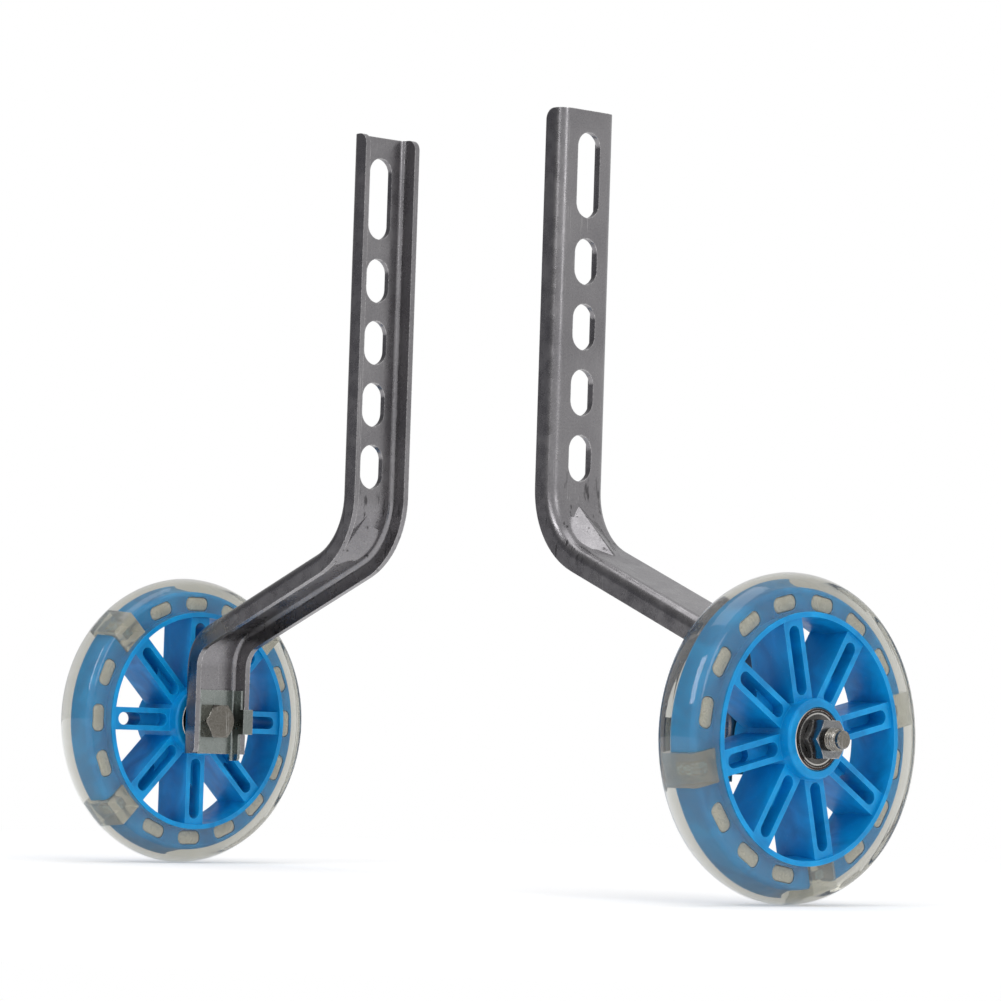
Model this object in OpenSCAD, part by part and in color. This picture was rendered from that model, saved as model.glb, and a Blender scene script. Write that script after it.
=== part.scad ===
// Pair of bicycle training wheels: a cranked channel arm and a light-up wheel on each side.
// Millimetres. The origin is on the ground midway between the wheels, +Z is up and +Y is the bicycle's
// right-hand side. Each unit is drawn about its own axle with s along the bicycle, o outboard and z up.

/* [Stance] */
// Distance between the outer faces of the two arm tops
web_gap = 120; // [110:1:140]
// Sideways step of an arm, from its top to its foot
crank_out = 94; // [85:1:110]
// Height lost along the sloping part of an arm
crank_drop = 38.5; // [30:0.5:45]
// Height of the lower bend above the axle
lower_bend_z = 33.5; // [31:0.5:40]

/* [Arm] */
// Width of the channel across its flanges
arm_w = 27; // [25:0.5:30]
// Depth of the flanges
flange_d = 9; // [8:0.5:10]
// Thickness of the sheet
sheet_t = 2.3; // [2:0.1:2.6]
// Outer radius of the channel's two corners
corner_r = 4.5; // [3.5:0.1:5]
// Outer-face radius of the upper bend
upper_bend_r = 24; // [20:1:28]
// Outer-face radius of the lower bend
lower_bend_r = 18; // [15:0.5:20]
// How far the sheet's faces are drawn in where it is bent
bend_thinning = 0.02; // [0.02:0.01:0.05]
// How far the foot reaches below the axle
foot_drop = 13; // [12:0.5:14]
// Metal left above the long slot
top_margin = 8; // [6:0.5:12]
// Rounding of the flange tips at the top
tip_r = 4; // [2:0.5:5]
// Rounding of the flange tips at the foot
foot_tip_r = 2.5; // [1:0.5:4]

/* [Dart] */
// Distance of the dart's ridge from the upper bend's vertex
dart_reach = 8; // [7.5:0.1:9]
// Slope of the ridge from the vertical
dart_angle = 47; // [40:1:55]
// Slope of the dart's flanks from its middle plane
dart_flank = 62; // [50:1:68]
// Rounding of the ridge
dart_r = 1.4; // [1:0.1:2]

/* [Slots] */
// Width of every slot
slot_w = 11; // [9:0.5:13]
// Length of a short slot
slot_len = 17; // [14:0.5:19]
// Distance from one short slot to the next
slot_pitch = 24; // [22:0.5:26]
// Number of short slots
slot_n = 4; // [3:1:4]
// Height of the lowest short slot above the axle
first_slot_z = 99.5; // [99:0.5:108]
// Length of the long slot
long_slot_len = 31.5; // [28:0.5:36]
// Metal between the long slot and the short slot below it
long_slot_gap = 7.5; // [6:0.5:10]

/* [Fasteners] */
// Diameter of the axle bolt
bolt_d = 7.9; // [7.7:0.05:7.95]
// Diameter of the reduced end of the bolt
bolt_end_d = 6.4; // [6:0.1:6.8]
// Length of the reduced end of the bolt
bolt_end_len = 2.2; // [1:0.1:3]
// How far the bolt stands out of the nut
bolt_proud = 5.6; // [3:0.2:7]
// Width across the flats of the bolt head and the nut
hex_af = 13; // [12.5:0.1:13.5]
// Height of the bolt head
head_h = 5.3; // [4.8:0.1:5.8]
// Height of the nut
nut_h = 6.8; // [6:0.1:7.5]
// Thickness of the inboard spacer
spacer_t = 2.5; // [2:0.1:4]
// Outer diameter of the inboard spacer
spacer_d = 12; // [11:0.5:13]
// Extra diameter of the holes that the bolt passes through
bolt_play = 0.4; // [0.2:0.1:0.6]

/* [Retainer plate] */
// Thickness of the retainer plate
plate_t = 1.2; // [1:0.1:1.5]
// Height of the plate's top edge above the axle
plate_top = 12.5; // [10:0.5:14]
// Depth of the upturned edge opposite the ear
plate_lip_h = 3.6; // [2.5:0.1:5]
// How far that edge stands above the plate, where it ends in a point
plate_lip_rise = 5; // [3:0.5:6]
// How far the plate's other wing reaches below the foot
plate_tail = 2.6; // [1.5:0.1:3.5]
// Width of the ear over the flange, along the arm
ear_w = 10; // [8:0.5:12]
// Step in the flange's edge below the ear
ear_step = 1.8; // [1:0.1:2.5]
// How far the ear reaches past the inside of the flange
ear_reach = 3.6; // [2.8:0.1:4.5]
// Clearance between the plate and the channel
plate_fit = 0.1; // [0.05:0.05:0.2]

/* [Wheel] */
// Diameter of the tyre
tyre_d = 114; // [108:1:120]
// Width of the tyre
tyre_w = 19.6; // [17:0.2:22]
// Radius of the tread across the wheel
tread_r = 16; // [14:0.5:20]
// Radius of the tyre's shoulders
shoulder_r = 4; // [3:0.2:5]
// Outer radius of the rim ring
ring_r = 43.5; // [42:0.5:45]
// Width of the rim ring
ring_w = 20.4; // [18:0.2:24]
// Thickness of the rim ring at its edges
ring_t = 1.8; // [1.5:0.1:2.5]
// Thickness of the rim ring at its middle
ring_mid_t = 3; // [2.6:0.1:3.6]
// Radial height of the flange outside the ring
flange_h = 8.2; // [7.5:0.1:9]
// Width of the flange outside the ring
flange_w = 11; // [9:0.2:13]
// Rounding of the flange's outer edges
flange_edge_r = 2; // [1:0.1:3]
// Outer radius of the hub
hub_r = 14; // [13.5:0.1:15.5]
// Rounding of the hub's outer edges
hub_edge_r = 1.2; // [0.6:0.1:1.8]
// Clearance between the moulded pieces
mould_fit = 0.05; // [0.02:0.01:0.1]

/* [Spokes] */
// Number of spokes
spoke_n = 8; // [6:2:10]
// Width of a spoke
spoke_w = 9; // [8:0.2:10]
// Depth of a spoke along the axle
spoke_d = 18; // [14:0.2:20]
// Width of the pocket in a spoke
pocket_w = 5; // [4:0.1:5.6]
// Depth of the shallow half of a pocket, next to the hub
pocket_shallow = 5; // [3:0.2:6]
// Thickness of the floor in the deep half of a closed pocket
pocket_floor = 2; // [1.6:0.1:4]
// Solid land between a pocket's ends and the hub or the ring
pocket_land = 1.2; // [0.8:0.1:2]

/* [Windows and lights] */
// Number of places for windows and lights around the flange
place_n = 16; // [12:4:20]
// Length of a window around the flange
window_len = 11; // [9:0.2:12]
// Height of a window across the flange
window_h = 5.6; // [5:0.1:6]
// Rounding of a window's corners
window_r = 2.4; // [1.5:0.1:2.4]
// Distance from the ring to the bottom of a window
window_gap = 0.6; // [0.4:0.1:1]
// Width of a light module around the wheel
module_w = 11.7; // [10.5:0.1:13]
// Width of a light module along the axle
module_d = 14; // [12:0.5:15]
// Height of a light module above the ring
module_h = 9.8; // [9:0.1:10.4]
// Size of the light element inside a module, around the wheel
led_w = 4; // [3:0.1:5]
// Height of the light element
led_h = 3.2; // [2.5:0.1:4]
// Length of the light element along the axle
led_d = 8; // [6:0.5:10]
// Distance from the ring to the light element
led_gap = 2.4; // [1.5:0.1:3]

/* [Bearings] */
// Bore of a bearing
bearing_bore = 8; // [8:0.05:8.3]
// Outer diameter of a bearing
bearing_od = 22; // [21:0.5:23]
// Width of a bearing
bearing_w = 7; // [6.5:0.1:7.5]
// Distance between the bearings' outer faces
bearing_span = 27; // [24:0.2:28]
// Outer diameter of an inner race
inner_race_d = 12.1; // [11.6:0.1:12.4]
// Diameter of the outer race's inner lands
outer_land_d = 18; // [17.8:0.1:18.4]
// Ball diameter
ball_d = 3.97; // [3.8:0.01:4]
// Number of balls
ball_n = 7; // [6:1:7]
// Clearance between a ball and its track
track_play = 0.04; // [0.02:0.01:0.08]
// Thickness of a shield
shield_t = 0.35; // [0.3:0.05:0.5]
// Gap between a shield and the inner race
shield_gap = 0.35; // [0.3:0.05:0.5]
// Diameter of a shield and its seat
shield_d = 19.4; // [19:0.1:19.8]
// Radial width of a cage
cage_w = 1.5; // [1.2:0.1:1.8]
// Chamfer on the outer edges of an outer race
race_chamfer = 0.5; // [0.3:0.1:0.7]
// Outer diameter of the tube between the inner races
tube_d = 11.6; // [11:0.1:12]

/* [Hidden] */
$fn = 96;

// A cutter reaches this far past the face that it cuts
over = 1;

// Where the pieces of a unit lie along its axle, o = 0 at the middle of the wheel
bearing_face_o = bearing_span / 2;
foot_o = -bearing_face_o - spacer_t;
top_o = foot_o - crank_out;
plate_o = foot_o - sheet_t;
head_o = plate_o - plate_t;
bolt_tip_o = bearing_face_o + nut_h + bolt_proud;
wheel_y = web_gap / 2 - top_o;
axle_z = tyre_d / 2;

// Path of the arm's outer face
upper_bend_z = lower_bend_z + crank_drop;
slope_angle = atan(crank_out / crank_drop);
slope_len = norm([crank_out, crank_drop]);
// Angle by which a bend runs on into the straight runs
bend_lap = 1.5;
upper_tangent = upper_bend_r * tan(slope_angle / 2);
lower_tangent = lower_bend_r * tan(slope_angle / 2);
inner_corner_r = corner_r - sheet_t;
long_slot_z = first_slot_z + (slot_n - 1) * slot_pitch + slot_len / 2 + long_slot_gap + long_slot_len / 2;
arm_top = long_slot_z + long_slot_len / 2 + top_margin;
hole_d = bolt_d + bolt_play;
// Rounding of the plate's lower corner, and how far its wing stays inside the flange's edge
wing_tip_r = 1.5;
wing_inset = 0.6;

// Wheel, with the angle at which each one stands
right_phase = 167;
left_phase = 45;
place_step = 360 / place_n;
light_every = place_n / 4;
light_n = 3;
flange_r = ring_r + flange_h;
window_mid_r = ring_r + window_gap + window_h / 2;
ring_mid_r = ring_r - ring_mid_t;
pocket_start_r = hub_r + pocket_land + pocket_w / 2;
pocket_end_r = ring_mid_r - pocket_land - pocket_w / 2;
pocket_step_r = (pocket_start_r + pocket_end_r) / 2;

// Bearings
bearing_mid_o = bearing_face_o - bearing_w / 2;
inner_gap = bearing_span - 2 * bearing_w;
ball_track_r = (bearing_bore / 2 + bearing_od / 2) / 2;
track_groove_r = ball_d / 2 + track_play;
seat_fit = 0.02;
// Depth of the seat that a shield is pressed into
shield_seat = shield_t + 0.1;
// How far a cage reaches to the closed and to the open side of the balls
cage_back = 2.6;
cage_front = 0.8;
// Land between the two bearing seats, which the outer races rest on
hub_shoulder_r = bearing_od / 2 - 1.6;

// Places of the two units, and axis helpers

module right_unit() {
    translate([0, wheel_y, axle_z]) children();
}

module left_unit() {
    rotate([0, 0, 180]) translate([0, wheel_y, axle_z]) children();
}

// Turns a shape drawn about Z so that it lies about the axle, with its +Z side inboard
module about_axle() {
    rotate([90, 0, 0]) children();
}

// Ring about Z, from the inboard to the outboard face
module washer(outer_r, hole_r, from_o, to_o) {
    about_axle() translate([0, 0, -to_o]) difference() {
        cylinder(r = outer_r, h = to_o - from_o);
        translate([0, 0, -over]) cylinder(r = hole_r, h = to_o - from_o + 2 * over);
    }
}

// Rectangle with round corners, centred
module round_rect(len, high, r) {
    square([len - 2 * r, high], center = true);
    square([len, high - 2 * r], center = true);
    for (x = [-1, 1], y = [-1, 1])
        translate([x * (len / 2 - r), y * (high / 2 - r)]) circle(r = r);
}

// Slot with round ends, its length along Z, cut through the web at depth x
module slot_cutter(len, wide, x, z) {
    translate([x - over, 0, z]) {
        for (end = [-1, 1])
            translate([0, 0, end * (len - wide) / 2])
                rotate([0, 90, 0]) cylinder(d = wide, h = sheet_t + 2 * over);
        translate([0, -wide / 2, -(len - wide) / 2])
            cube([sheet_t + 2 * over, wide, len - wide]);
    }
}

// Arm, drawn with x inboard from the wheel's middle plane, y along the bicycle and z up

// Corner-rounded half of the channel's outline, with depth along x
module channel_outline(wide, deep, r) {
    translate([r, -wide / 2]) square([deep - r, wide]);
    translate([0, -wide / 2 + r]) square([deep, wide - 2 * r]);
    for (side = [-1, 1])
        translate([r, side * (wide / 2 - r)]) circle(r = r);
}

// Section of the channel: web at x = 0, flanges towards +x, every face drawn in by thin
module channel_section(thin = 0) {
    difference() {
        translate([thin, 0])
            channel_outline(arm_w - 2 * thin, flange_d - 2 * thin, corner_r - thin);
        translate([sheet_t - thin, 0])
            channel_outline(arm_w - 2 * sheet_t + 2 * thin, flange_d, inner_corner_r + thin);
    }
}

// The path modules draw one stretch downwards from the frame's origin, and put their children at its end

module straight_run(len) {
    translate([0, 0, -len]) {
        linear_extrude(len) channel_section();
        children();
    }
}

// Bend towards the outboard side, so its centre lies outboard of the web
module outward_bend(r) {
    translate([-r, 0, 0]) {
        rotate([90, 0, 0]) rotate([0, 0, -slope_angle - bend_lap])
            rotate_extrude(angle = slope_angle + 2 * bend_lap)
                translate([r, 0]) channel_section(bend_thinning);
        rotate([0, slope_angle, 0]) translate([r, 0, 0]) children();
    }
}

// Bend back to the vertical, so its centre lies inboard of the web
module inward_bend(r) {
    translate([r, 0, 0]) {
        rotate([90, 0, 0]) rotate([0, 0, 180 - bend_lap])
            rotate_extrude(angle = slope_angle + 2 * bend_lap)
                translate([r, 0]) mirror([1, 0]) channel_section(bend_thinning);
        rotate([0, -slope_angle, 0]) translate([-r, 0, 0]) children();
    }
}

module bent_channel() {
    translate([-top_o, 0, arm_top])
        straight_run(arm_top - upper_bend_z - upper_tangent)
            outward_bend(upper_bend_r)
                straight_run(slope_len - upper_tangent - lower_tangent)
                    inward_bend(lower_bend_r)
                        straight_run(lower_bend_z - lower_tangent + foot_drop);
}

// Takes the square tip off both flanges at height z, below it or above it
module flange_tip_cutter(x, z, r, up) {
    translate([x, 0, z]) rotate([90, 0, 0]) difference() {
        translate([-r, up > 0 ? -r : -over, -arm_w / 2 - over])
            cube([r + over, r + over, arm_w + 2 * over]);
        translate([-r, -up * r, -arm_w / 2 - 2 * over])
            cylinder(r = r, h = arm_w + 4 * over);
    }
}

// Takes a step off the flange below the retainer plate's ear
module ear_step_cutter() {
    translate([-foot_o + flange_d - ear_step, arm_w / 2 - corner_r, -foot_drop - over])
        cube([ear_step + over, corner_r + over, foot_drop + over - ear_w / 2]);
}

// Outline of the dart's ridge, pointing to +x with its tip at x = 0
module dart_section(wide) {
    flat_x = dart_r - dart_r / sin(dart_flank);
    polygon(concat(
        [for (k = [-4:4])
            let (a = k / 4 * (90 - dart_flank))
            [dart_r * (cos(a) - 1), dart_r * sin(a)]],
        [[-flat_x - wide / tan(dart_flank), wide], [-flat_x - wide / tan(dart_flank), -wide]]
    ));
}

// Long prism under the dart's ridge, moved in from the ridge by the given depth
module dart_prism(deep) {
    wide = arm_w / 2 - corner_r;
    ridge_x = -top_o - dart_reach * cos(slope_angle / 2);
    ridge_z = upper_bend_z + dart_reach * sin(slope_angle / 2);
    translate([ridge_x, 0, ridge_z])
        rotate([0, dart_angle, 0])
            translate([deep, 0, 0]) rotate([0, 0, 180])
                linear_extrude(3 * upper_bend_r, center = true) dart_section(wide);
}

module arm_shape() {
    difference() {
        union() {
            bent_channel();
            intersection() {
                dart_prism(0);
                outboard_side();
            }
        }
        dart_prism(sheet_t);
        for (k = [0:slot_n - 1])
            slot_cutter(slot_len, slot_w, -top_o, first_slot_z + k * slot_pitch);
        slot_cutter(long_slot_len, slot_w, -top_o, long_slot_z);
        translate([-foot_o - over, 0, 0])
            rotate([0, 90, 0]) cylinder(d = hole_d, h = sheet_t + 2 * over);
        flange_tip_cutter(-top_o + flange_d, arm_top, tip_r, 1);
        flange_tip_cutter(-foot_o + flange_d, -foot_drop, foot_tip_r, -1);
        ear_step_cutter();
    }
}

// Space around the upper bend on the outboard side of the middle of the sheet
module outboard_side() {
    centre = [-top_o - upper_bend_r, upper_bend_z + upper_tangent];
    mid_r = upper_bend_r + sheet_t / 2;
    top_point = centre + mid_r * [1, 0];
    slope_point = centre + mid_r * [cos(slope_angle), -sin(slope_angle)];
    far = 2 * upper_bend_r;
    rotate([90, 0, 0]) linear_extrude(arm_w, center = true) {
        polygon([
            centre,
            top_point,
            top_point + far * [0, 1],
            centre + far * [-1, 1],
            slope_point - far * [sin(slope_angle), cos(slope_angle)],
            slope_point
        ]);
        translate(centre) circle(r = mid_r);
    }
}

module arm() {
    color([0.43, 0.42, 0.43]) rotate([0, 0, -90]) arm_shape();
}

// Retainer plate, in the same frame as the arm

module retainer_plate() {
    inside = arm_w / 2 - sheet_t - plate_fit;
    flat_half = inside - inner_corner_r;
    edge_x = -foot_o + flange_d;
    ear_x = edge_x + plate_fit;
    x0 = -plate_o;
    lip_top = plate_top + plate_lip_rise;
    wing_low = -foot_drop - plate_tail;
    color([0.62, 0.63, 0.63]) rotate([0, 0, -90]) difference() {
        union() {
            translate([x0, -flat_half, -foot_drop])
                cube([plate_t, 2 * flat_half, foot_drop + plate_top]);
            plate_corner(x0, 1, wing_low, plate_top);
            plate_corner(x0, -1, -foot_drop, lip_top);
            plate_wall(x0, -1, inner_corner_r + plate_lip_h, -foot_drop, lip_top);
            plate_wall(x0, 1, edge_x - ear_step - x0, wing_low, plate_top);
            plate_wall(x0, 1, edge_x - wing_inset - x0, 0, plate_top);
            plate_wall(x0, 1, ear_x + plate_t - x0, -ear_w / 2, ear_w / 2);
            translate([ear_x, inside - plate_t, -ear_w / 2])
                cube([plate_t, plate_t + ear_reach, ear_w]);
        }
        translate([x0 - over, 0, 0])
            rotate([0, 90, 0]) cylinder(d = hole_d, h = plate_t + 2 * over);
        lip_point_cutter(x0, lip_top);
        flange_tip_cutter(edge_x - ear_step, wing_low, wing_tip_r, -1);
    }
}

// Cuts the top of the upturned edge to a slope that ends in a point at its corner
module lip_point_cutter(x0, top) {
    deep = inner_corner_r + plate_lip_h;
    slope = atan(deep / plate_lip_rise);
    translate([x0, -arm_w / 2, top]) rotate([0, -slope, 0]) translate([0, 0, -3 * plate_lip_rise])
        cube([deep + plate_lip_rise, arm_w / 2 - inner_corner_r, 4 * plate_lip_rise]);
}

// Rolled corner of the plate inside the channel's own corner
module plate_corner(x0, side, low, high) {
    inside = arm_w / 2 - sheet_t - plate_fit;
    r = inner_corner_r;
    translate([x0, 0, low]) linear_extrude(high - low) intersection() {
        translate([r, side * (inside - r)]) difference() {
            circle(r = r);
            circle(r = r - plate_t);
        }
        translate([0, side > 0 ? inside - r : -inside]) square([r, r]);
    }
}

// Upright wall of the plate along a flange, from its rolled corner to depth deep
module plate_wall(x0, side, deep, low, high) {
    inside = arm_w / 2 - sheet_t - plate_fit;
    translate([x0 + inner_corner_r, side > 0 ? inside - plate_t : -inside, low])
        cube([deep - inner_corner_r, plate_t, high - low]);
}

// Fasteners

// Hexagon with two flats towards +z and -z, chamfered at the end that faces up
module hex_prism(high, chamfer_up, chamfer_down) {
    corner_d = hex_af / cos(30);
    intersection() {
        cylinder(d = corner_d, h = high, $fn = 6);
        rotate_extrude() polygon([
            [0, 0],
            [chamfer_down ? hex_af / 2 : corner_d, 0],
            [corner_d / 2 + 0.01, chamfer_down ? (corner_d - hex_af) / 4 : 0],
            [corner_d / 2 + 0.01, high - (chamfer_up ? (corner_d - hex_af) / 4 : 0)],
            [chamfer_up ? hex_af / 2 : corner_d, high],
            [0, high]
        ]);
    }
}

module axle_bolt() {
    color([0.66, 0.66, 0.66]) about_axle() {
        translate([0, 0, -head_o]) hex_prism(head_h, true, false);
        translate([0, 0, -bolt_tip_o + bolt_end_len])
            cylinder(d = bolt_d, h = bolt_tip_o - bolt_end_len - head_o);
        translate([0, 0, -bolt_tip_o]) cylinder(d = bolt_end_d, h = bolt_end_len);
    }
}

module axle_nut() {
    color([0.7, 0.7, 0.7]) about_axle() translate([0, 0, -bearing_face_o - nut_h]) difference() {
        hex_prism(nut_h, false, true);
        translate([0, 0, -over]) cylinder(d = bolt_d + 2 * seat_fit, h = nut_h + 2 * over);
    }
}

module inboard_spacer() {
    color([0.5, 0.5, 0.5]) washer(spacer_d / 2, hole_d / 2, foot_o, -bearing_face_o);
}

module bearing_spacer() {
    color([0.55, 0.55, 0.55]) washer(tube_d / 2, hole_d / 2, -inner_gap / 2, inner_gap / 2);
}

// Wheel, drawn about Z with +z inboard

// Half of the tyre's section, with the radius along x and the width along y
module tyre_profile() {
    half = tyre_w / 2;
    crown_x = tyre_d / 2 - tread_r;
    shoulder_x = crown_x + sqrt(pow(tread_r - shoulder_r, 2) - pow(half - shoulder_r, 2));
    side_angle = atan((half - shoulder_r) / (shoulder_x - crown_x));
    reach = tread_r / cos(side_angle) + over;
    translate([ring_r + mould_fit, -half]) square([shoulder_x - ring_r - mould_fit, tyre_w]);
    for (side = [-1, 1])
        translate([shoulder_x, side * (half - shoulder_r)]) circle(r = shoulder_r);
    intersection() {
        translate([crown_x, 0]) circle(r = tread_r);
        polygon([
            [shoulder_x, half - shoulder_r],
            [crown_x + reach * cos(side_angle), reach * sin(side_angle)],
            [crown_x + reach * cos(side_angle), -reach * sin(side_angle)],
            [shoulder_x, shoulder_r - half]
        ]);
    }
}

// Section of the flange outside the ring, grown by the fit
module flange_profile(grow) {
    half = flange_w / 2 + grow;
    r = flange_edge_r;
    top = flange_r + grow;
    translate([ring_r - over, -half]) square([top - ring_r + over - r, 2 * half]);
    translate([ring_r - over, -half + r]) square([top - ring_r + over, 2 * half - 2 * r]);
    for (side = [-1, 1])
        translate([top - r, side * (half - r)]) circle(r = r);
}

// Windows at every place that has no light, shrunk by the fit
module windows(shrink) {
    for (k = [0:place_n - 1])
        if (!(k % light_every == 0 && k / light_every < light_n))
            rotate([0, 0, k * place_step]) translate([window_mid_r, 0, 0]) rotate([0, 0, 90])
                linear_extrude(flange_w + 2 * over, center = true)
                    round_rect(window_len - 2 * shrink, window_h - 2 * shrink, window_r - shrink);
}

// Blocks at the light places, from inside the ring's outer face to height high, grown by the fit
module light_places(wide, high, deep, grow) {
    for (k = [0:light_n - 1])
        rotate([0, 0, k * light_every * place_step])
            translate([ring_r - over, -wide / 2 - grow, -deep / 2 - grow])
                cube([high + over + grow, wide + 2 * grow, deep + 2 * grow]);
}

// Flange with its windows and light gaps
module flange_shape(grow) {
    difference() {
        rotate_extrude() flange_profile(grow);
        windows(grow);
        light_places(module_w + 2 * mould_fit, flange_h + over, flange_w + 2 * over, -grow);
    }
}

// Hub without its bore, its two outer edges rounded
module hub_body() {
    half = bearing_span / 2;
    r = hub_edge_r;
    rotate_extrude() {
        translate([0, -half]) square([hub_r - r, bearing_span]);
        translate([0, r - half]) square([hub_r, bearing_span - 2 * r]);
        for (side = [-1, 1])
            translate([hub_r - r, side * (half - r)]) circle(r = r);
    }
}

module spoke() {
    translate([hub_r - over, -spoke_w / 2, -spoke_d / 2])
        cube([ring_mid_r - hub_r + over + ring_mid_t / 2, spoke_w, spoke_d]);
}

// Pocket of round ends from radius r0 to r1, as deep as given from both faces
module pocket(r0, r1, deep) {
    for (side = [0, 1]) mirror([0, 0, side])
        translate([0, 0, spoke_d / 2 - deep]) {
            for (r = [r0, r1])
                translate([r, 0, 0]) cylinder(d = pocket_w, h = deep + over);
            translate([r0, -pocket_w / 2, 0]) cube([r1 - r0, pocket_w, deep + over]);
        }
}

module wheel_core_shape() {
    deep_closed = (spoke_d - pocket_floor) / 2;
    deep_open = spoke_d / 2 + over;
    difference() {
        union() {
            hub_body();
            for (k = [0:spoke_n - 1]) rotate([0, 0, k * 360 / spoke_n]) spoke();
            rotate_extrude() polygon([
                [ring_r, -ring_w / 2],
                [ring_r, ring_w / 2],
                [ring_r - ring_t, ring_w / 2],
                [ring_mid_r, 0],
                [ring_r - ring_t, -ring_w / 2]
            ]);
            difference() {
                flange_shape(0);
                cylinder(r = ring_r - ring_t / 2, h = 2 * ring_w, center = true);
            }
        }
        for (k = [0:spoke_n - 1]) rotate([0, 0, k * 360 / spoke_n]) {
            pocket(pocket_start_r, pocket_end_r, pocket_shallow);
            pocket(pocket_step_r, pocket_end_r, k % 2 == 0 ? deep_closed : deep_open);
        }
        for (side = [0, 1]) mirror([0, 0, side])
            translate([0, 0, bearing_span / 2 - bearing_w])
                cylinder(r = bearing_od / 2 + seat_fit, h = bearing_w + over);
        cylinder(r = hub_shoulder_r, h = bearing_span, center = true);
    }
}

module wheel_core(phase) {
    color([0.1, 0.48, 0.74]) about_axle() rotate([0, 0, phase]) wheel_core_shape();
}

module tyre(phase) {
    color([0.78, 0.77, 0.73, 0.5]) about_axle() rotate([0, 0, phase]) difference() {
        rotate_extrude() tyre_profile();
        flange_shape(mould_fit);
        light_places(module_w, module_h, module_d, mould_fit);
    }
}

module light_modules(phase) {
    color([0.74, 0.73, 0.66]) about_axle() rotate([0, 0, phase]) difference() {
        light_places(module_w, module_h, module_d, 0);
        cylinder(r = ring_r + mould_fit, h = 2 * ring_w, center = true);
        led_boxes(mould_fit);
    }
}

// Light elements at the light places, grown by the fit
module led_boxes(grow) {
    for (k = [0:light_n - 1])
        rotate([0, 0, k * light_every * place_step])
            translate([ring_r + led_gap - grow, -led_w / 2 - grow, -led_d / 2 - grow])
                cube([led_h + 2 * grow, led_w + 2 * grow, led_d + 2 * grow]);
}

module led_inserts(phase) {
    color([0.3, 0.42, 0.5]) about_axle() rotate([0, 0, phase]) led_boxes(0);
}

// Bearings, drawn about Z at their own middle

module at_bearing(side) {
    about_axle() translate([0, 0, -side * bearing_mid_o]) children();
}

module outer_race(side) {
    seat_r = shield_d / 2;
    half = bearing_w / 2;
    color([0.6, 0.6, 0.6]) at_bearing(side) rotate_extrude() difference() {
        polygon([
            [outer_land_d / 2, -half],
            [bearing_od / 2 - race_chamfer, -half],
            [bearing_od / 2, race_chamfer - half],
            [bearing_od / 2, half - race_chamfer],
            [bearing_od / 2 - race_chamfer, half],
            [outer_land_d / 2, half]
        ]);
        translate([ball_track_r, 0]) circle(r = track_groove_r);
        for (end = [-1, 1])
            translate([0, end * (half - shield_seat / 2 + over / 2)])
                square([2 * seat_r, shield_seat + over], center = true);
    }
}

module inner_race(side) {
    color([0.68, 0.68, 0.68]) at_bearing(side) rotate_extrude() difference() {
        translate([bearing_bore / 2, -bearing_w / 2])
            square([inner_race_d / 2 - bearing_bore / 2, bearing_w]);
        translate([ball_track_r, 0]) circle(r = track_groove_r);
    }
}

module ball_places() {
    for (k = [0:ball_n - 1])
        rotate([0, 0, k * 360 / ball_n]) translate([ball_track_r, 0, 0]) children();
}

module balls(side) {
    color([0.75, 0.75, 0.75]) at_bearing(side) ball_places() sphere(d = ball_d);
}

module cage(side) {
    color([0.5, 0.45, 0.35]) at_bearing(side) difference() {
        translate([0, 0, -cage_back]) difference() {
            cylinder(r = ball_track_r + cage_w / 2, h = cage_back + cage_front);
            translate([0, 0, -over])
                cylinder(r = ball_track_r - cage_w / 2, h = cage_back + cage_front + 2 * over);
        }
        ball_places() sphere(r = track_groove_r + track_play);
    }
}

module shields(side) {
    color([0.64, 0.64, 0.64]) at_bearing(side)
        for (end = [0, 1]) mirror([0, 0, end])
            translate([0, 0, bearing_w / 2 - shield_seat]) difference() {
                cylinder(r = shield_d / 2 - seat_fit, h = shield_t);
                translate([0, 0, -over])
                    cylinder(r = inner_race_d / 2 + shield_gap, h = shield_t + 2 * over);
            }
}

right_unit() arm();  // right_arm
right_unit() retainer_plate();  // right_retainer_plate
right_unit() axle_bolt();  // right_axle_bolt
right_unit() axle_nut();  // right_axle_nut
right_unit() inboard_spacer();  // right_inboard_spacer
right_unit() bearing_spacer();  // right_bearing_spacer
right_unit() wheel_core(right_phase);  // right_wheel_core
right_unit() tyre(right_phase);  // right_tyre
right_unit() light_modules(right_phase);  // right_light_modules
right_unit() led_inserts(right_phase);  // right_led_inserts
right_unit() outer_race(-1);  // right_inner_outer_race
right_unit() inner_race(-1);  // right_inner_inner_race
right_unit() balls(-1);  // right_inner_balls
right_unit() cage(-1);  // right_inner_cage
right_unit() shields(-1);  // right_inner_shields
right_unit() outer_race(1);  // right_outer_outer_race
right_unit() inner_race(1);  // right_outer_inner_race
right_unit() balls(1);  // right_outer_balls
right_unit() cage(1);  // right_outer_cage
right_unit() shields(1);  // right_outer_shields
left_unit() arm();  // left_arm
left_unit() retainer_plate();  // left_retainer_plate
left_unit() axle_bolt();  // left_axle_bolt
left_unit() axle_nut();  // left_axle_nut
left_unit() inboard_spacer();  // left_inboard_spacer
left_unit() bearing_spacer();  // left_bearing_spacer
left_unit() wheel_core(left_phase);  // left_wheel_core
left_unit() tyre(left_phase);  // left_tyre
left_unit() light_modules(left_phase);  // left_light_modules
left_unit() led_inserts(left_phase);  // left_led_inserts
left_unit() outer_race(-1);  // left_inner_outer_race
left_unit() inner_race(-1);  // left_inner_inner_race
left_unit() balls(-1);  // left_inner_balls
left_unit() cage(-1);  // left_inner_cage
left_unit() shields(-1);  // left_inner_shields
left_unit() outer_race(1);  // left_outer_outer_race
left_unit() inner_race(1);  // left_outer_inner_race
left_unit() balls(1);  // left_outer_balls
left_unit() cage(1);  // left_outer_cage
left_unit() shields(1);  // left_outer_shields
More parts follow.
